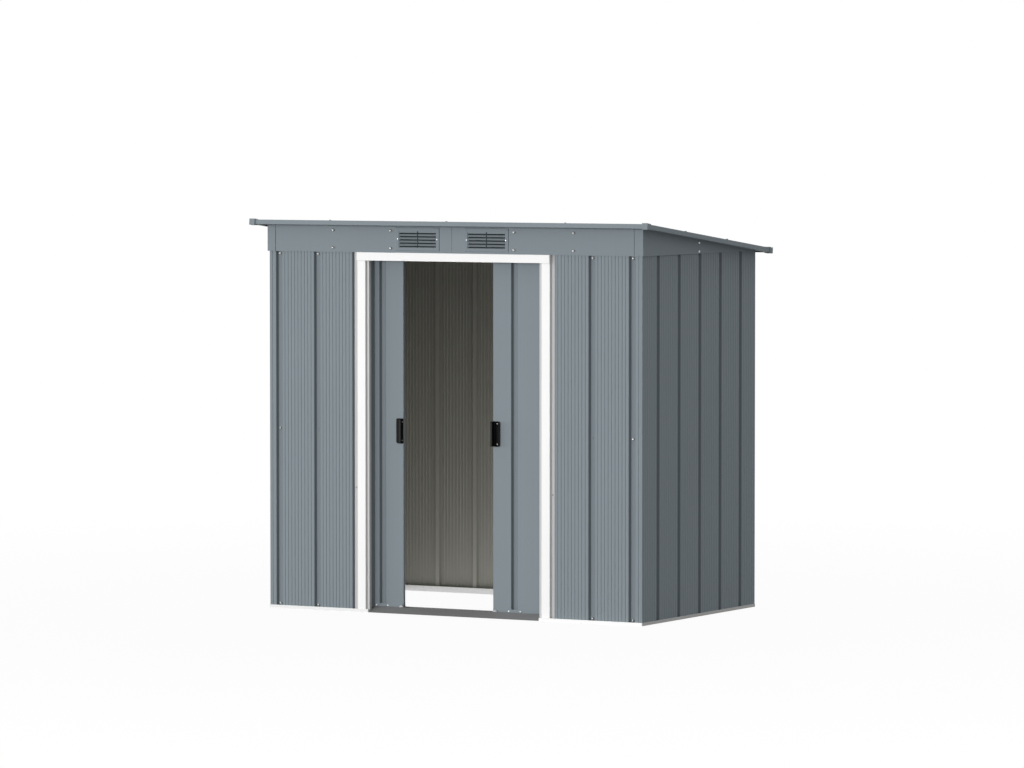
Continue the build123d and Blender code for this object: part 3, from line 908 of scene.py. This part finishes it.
class SHED_OT_fascia_bolts(Operator):
    """Bolt the fascia, the gables and the vents"""

    bl_idname = "shed.fascia_bolts"
    bl_label = "Fascia Bolts"

    def execute(self, context):
        sizes = context.scene.shed_fasteners
        fascia = on_face(FASCIA_LOW.y, FORWARD, mirrored(FASCIA_BOLT_REACHES), FASCIA_BOLT_HEIGHTS)
        place_copies(model_bolt(sizes), "fascia_bolts", fascia, "shed", bolt_zinc())
        gable_depth = PANEL_LOW.y + GABLE_BOLT_BEHIND_FRONT
        gables = [
            (Vector((side * GABLE_HIGH.x, gable_depth, z)), RIGHT * side)
            for side in (-1, 1)
            for z in GABLE_BOLT_HEIGHTS
        ]
        # Painted light: paler zinc on the gable bolts
        place_copies(model_bolt(sizes), "gable_bolts", gables, "shed", clean_zinc())
        screw_reaches = mirrored((VENT_LOW.x + VENT_SCREW_INSET, VENT_HIGH.x - VENT_SCREW_INSET))
        vents = on_face(VENT_LOW.y, FORWARD, screw_reaches, ((VENT_LOW.z + VENT_HIGH.z) / 2,))
        # Painted light: paler zinc on the vent screws
        place_copies(model_screw(sizes), "vent_screws", vents, "shed", clean_zinc())
        return {"FINISHED"}


class SHED_OT_roof_bolts(Operator):
    """Bolt the roof trims down to the sheets"""

    bl_idname = "shed.roof_bolts"
    bl_label = "Roof Bolts"

    def execute(self, context):
        sizes = context.scene.shed_fasteners
        back_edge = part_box("back_roof_trim")[1]
        slope = (SIDE_TRIM_HIGH.z - back_edge.z) / (back_edge.y - FRONT_TRIM_LOW.y)
        lean = Vector((0, slope, 1)).normalized()
        half_trim = (SIDE_TRIM_HIGH.x - SIDE_TRIM_LOW.x) / 2
        spots = [(x, FRONT_TRIM_LOW.y + half_trim) for x in (-TRIM_BOLT_REACH, 0, TRIM_BOLT_REACH)]
        for x in mirrored((SIDE_TRIM_HIGH.x - half_trim,)):
            spots += [(x, PANEL_LOW.y + behind) for behind in TRIM_BOLTS_BEHIND_FRONT]
        places = [
            (Vector((x, y, FRONT_TRIM_HIGH.z - slope * (y - FRONT_TRIM_LOW.y))), lean) for x, y in spots
        ]
        place_copies(model_bolt(sizes), "roof_bolts", places, "shed", bolt_zinc())
        return {"FINISHED"}


class SHED_OT_door_bolts(Operator):
    """Bolt the door leaves to their channels and screw the handles on"""

    bl_idname = "shed.door_bolts"
    bl_label = "Door Bolts"

    def execute(self, context):
        sizes = context.scene.shed_fasteners
        for side, body in ((-1, "left_door"), (1, "right_door")):
            low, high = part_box(body + "_bottom_channel")
            edge = high.x if side < 0 else low.x
            bolt_reaches = [edge + side * inset for inset in DOOR_BOLT_INSETS]
            bolts = on_face(low.y, FORWARD, bolt_reaches, (low.z + DOOR_BOLT_RISE,))
            # Painted light: paler zinc on the door bolts
            place_copies(model_screw(sizes), body + "_bolts", bolts, body, clean_zinc())
            low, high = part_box(body + "_handle")
            middle = (low.z + high.z) / 2
            if side < 0:
                place = Vector((edge, high.y - RIM_SCREW_STAND, middle))
                spacing, direction = RIM_SCREW_SPACING, RIGHT
            else:
                place = Vector((edge + BOSS_SCREW_INSET, high.y - BOSS_SCREW_STAND, middle))
                spacing, direction = BOSS_SCREW_SPACING, FORWARD
            screws = [(place + UP * (rise * spacing / 2), direction) for rise in (-1, 1)]
            name = body + "_handle_screws"
            place_copies(model_screw(sizes), name, screws, body, bolt_zinc())
        return {"FINISHED"}


class SHED_OT_stage(Operator):
    """Lay the floor, hang the lamps and set the camera"""

    bl_idname = "shed.stage"
    bl_label = "Stage"

    def execute(self, context):
        studio = context.scene.shed_studio
        self.lay_floor(studio)
        key = self.hang_strip(studio.key_strength)
        key.light_linking.blocker_collection = self.left_out("key_shade", KEY_PASSES)
        key.light_linking.receiver_collection = self.left_out("key_light", BACK_SHEETS)
        self.hang_disc("fill_lamp", studio.fill_strength, FILL_AIM)
        self.hang_disc("back_lamp", studio.back_strength, BACK_AIM)
        self.hang_disc("top_lamp", studio.top_strength, TOP_AIM)
        self.fill_sky(context.scene, studio.sky_strength)
        self.set_camera(context.scene, studio)
        context.scene.view_settings.view_transform = "Standard"
        return {"FINISHED"}

    def seen_white(self, wire):
        """1 for rays that show the background to the camera, a shine or clear glass."""
        camera, glossy, clear = [
            wire.node("ShaderNodeLightPath", output=name)
            for name in ("Is Camera Ray", "Is Glossy Ray", "Is Transmission Ray")
        ]
        return clamped(wire, camera + glossy + clear)

    def white_glow(self, wire, strength):
        """White light from a surface."""
        return wire.node("ShaderNodeEmission", {}, {"Color": WHITE, "Strength": strength})

    def white_share(self, wire, studio):
        """Share of plain white that the floor shows, which grows to 1 away from the shed."""
        place = object_place(wire)
        away = wire.node("ShaderNodeVectorMath", {"operation": "LENGTH"}, {0: place}, output="Value")
        fade = clamped(wire, away / studio.floor_fade - FADE_START)
        return studio.floor_white + fade * (1 - studio.floor_white)

    def ground_glow(self, wire, studio):
        """Even glow of the ground, stronger within the walls."""
        x = place_along(wire, "X")
        y = place_along(wire, "Y")
        within = (size_of(wire, x) < PANEL_HIGH.x) * (size_of(wire, y) < BACK_HIGH.y)
        share = within * clamped(wire, x * GLOW_RIGHT + y * GLOW_BACK + GLOW_MIDDLE)
        even = self.white_glow(wire, studio.ground_strength)
        inner = self.white_glow(wire, studio.inner_strength)
        return mix_shaders(wire, share, even, inner)

    def lay_floor(self, studio):
        """Pale floor that keeps the shed's shadow and shows nearly white."""
        bpy.ops.object.select_all(action="DESELECT")
        bpy.ops.mesh.primitive_plane_add(size=FLOOR_SIZE, location=(0, 0, -FLOOR_DROP))
        floor = bpy.context.object
        floor.name = "floor"
        material, wire = start_material("studio_floor")
        matt = wire.node("ShaderNodeBsdfDiffuse", {}, {"Color": rgba(studio.floor)})
        lit = wire.node("ShaderNodeAddShader", {}, {0: matt, 1: self.ground_glow(wire, studio)})
        white = self.white_glow(wire, PLAIN_WHITE)
        shown = mix_shaders(wire, self.white_share(wire, studio), matt, white)
        both = mix_shaders(wire, self.seen_white(wire), lit, shown)
        wire.node("ShaderNodeOutputMaterial", {}, {"Surface": both})
        floor.data.materials.append(material)

    def hang(self, kind, name, turn, rise, distance):
        """A lamp that points at the shed; turn goes round to the right from the front, rise goes up."""
        turn, rise = math.radians(turn), math.radians(rise)
        away = Vector((math.sin(turn) * math.cos(rise), -math.cos(turn) * math.cos(rise), math.sin(rise)))
        bpy.ops.object.light_add(type=kind, location=away * distance)
        lamp = bpy.context.object
        lamp.name = name
        lamp.rotation_euler = away.to_track_quat("Z", "Y").to_euler()
        return lamp

    def hang_strip(self, strength):
        """Wide, low strip of light far out in front and to the left, which falls evenly on the shed."""
        lamp = self.hang("AREA", "key_lamp", KEY_TURN, KEY_RISE, KEY_DISTANCE)
        lamp.data.shape = "RECTANGLE"
        lamp.data.size = KEY_WIDTH
        lamp.data.size_y = KEY_HEIGHT
        lamp.data.energy = strength * math.pi * KEY_DISTANCE**2
        lamp.visible_camera = False
        return lamp

    def hang_disc(self, name, strength, aim):
        """Broad lamp as a far disc of light."""
        lamp = self.hang("SUN", name, aim.turn, aim.rise, DISC_DISTANCE)
        lamp.data.energy = strength
        lamp.data.angle = math.radians(aim.spread)

    def left_out(self, name, nodes):
        """A collection for light linking that leaves a few nodes out."""
        linked = bpy.data.collections.new(name)
        for node in nodes:
            linked.objects.link(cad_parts[node])
        for member in linked.collection_objects:
            member.light_linking.link_state = "EXCLUDE"
        return linked

    def fill_sky(self, scene, strength):
        """Even light from all round, and a background that shows as plain white."""
        scene.world = bpy.data.worlds.new("studio_sky")
        wire = bare_wire(scene.world)
        even = wire.node("ShaderNodeBackground", {}, {"Color": WHITE, "Strength": strength})
        white = wire.node("ShaderNodeBackground", {}, {"Color": WHITE, "Strength": PLAIN_WHITE})
        shown = mix_shaders(wire, self.seen_white(wire), even, white)
        wire.node("ShaderNodeOutputWorld", {}, {"Surface": shown})

    def set_camera(self, scene, studio):
        """Camera at the photograph's viewing angle."""
        tilt = math.pi / 2 - studio.camera_dip
        bpy.ops.object.camera_add(location=studio.camera_place, rotation=(tilt, 0, studio.camera_turn))
        camera = bpy.context.object
        camera.data.lens = studio.camera_lens
        camera.data.clip_end = VIEW_END
        scene.camera = camera


OPERATORS = (
    SHED_OT_coat_walls,
    SHED_OT_coat_vents,
    SHED_OT_coat_frame,
    SHED_OT_finish_fittings,
    SHED_OT_panel_bolts,
    SHED_OT_fascia_bolts,
    SHED_OT_roof_bolts,
    SHED_OT_door_bolts,
    SHED_OT_stage,
)


class VIEW3D_PT_shed(Panel):
    """Steps that dress the shed"""

    bl_idname = "VIEW3D_PT_shed"
    bl_label = "Storage Shed"
    bl_space_type = "VIEW_3D"
    bl_region_type = "UI"
    bl_category = "Shed"

    def draw(self, context):
        for step in OPERATORS:
            self.layout.operator(step.bl_idname)


CLASSES = (ShedCoats, ShedFasteners, ShedStudio) + OPERATORS + (VIEW3D_PT_shed,)


def register():
    """Add the classes, and the settings that every scene keeps."""
    for each in CLASSES:
        bpy.utils.register_class(each)
    bpy.types.Scene.shed_coats = PointerProperty(type=ShedCoats)
    bpy.types.Scene.shed_fasteners = PointerProperty(type=ShedFasteners)
    bpy.types.Scene.shed_studio = PointerProperty(type=ShedStudio)


def unregister():
    """Take the settings and the classes away again."""
    del bpy.types.Scene.shed_studio
    del bpy.types.Scene.shed_fasteners
    del bpy.types.Scene.shed_coats
    for each in reversed(CLASSES):
        bpy.utils.unregister_class(each)


def main():
    """Dress the shed step by step."""
    register()
    bpy.ops.shed.coat_walls()
    bpy.ops.shed.coat_vents()
    bpy.ops.shed.coat_frame()
    bpy.ops.shed.finish_fittings()
    bpy.ops.shed.panel_bolts()
    bpy.ops.shed.fascia_bolts()
    bpy.ops.shed.roof_bolts()
    bpy.ops.shed.door_bolts()
    bpy.ops.shed.stage()


if __name__ == "__main__":
    main()
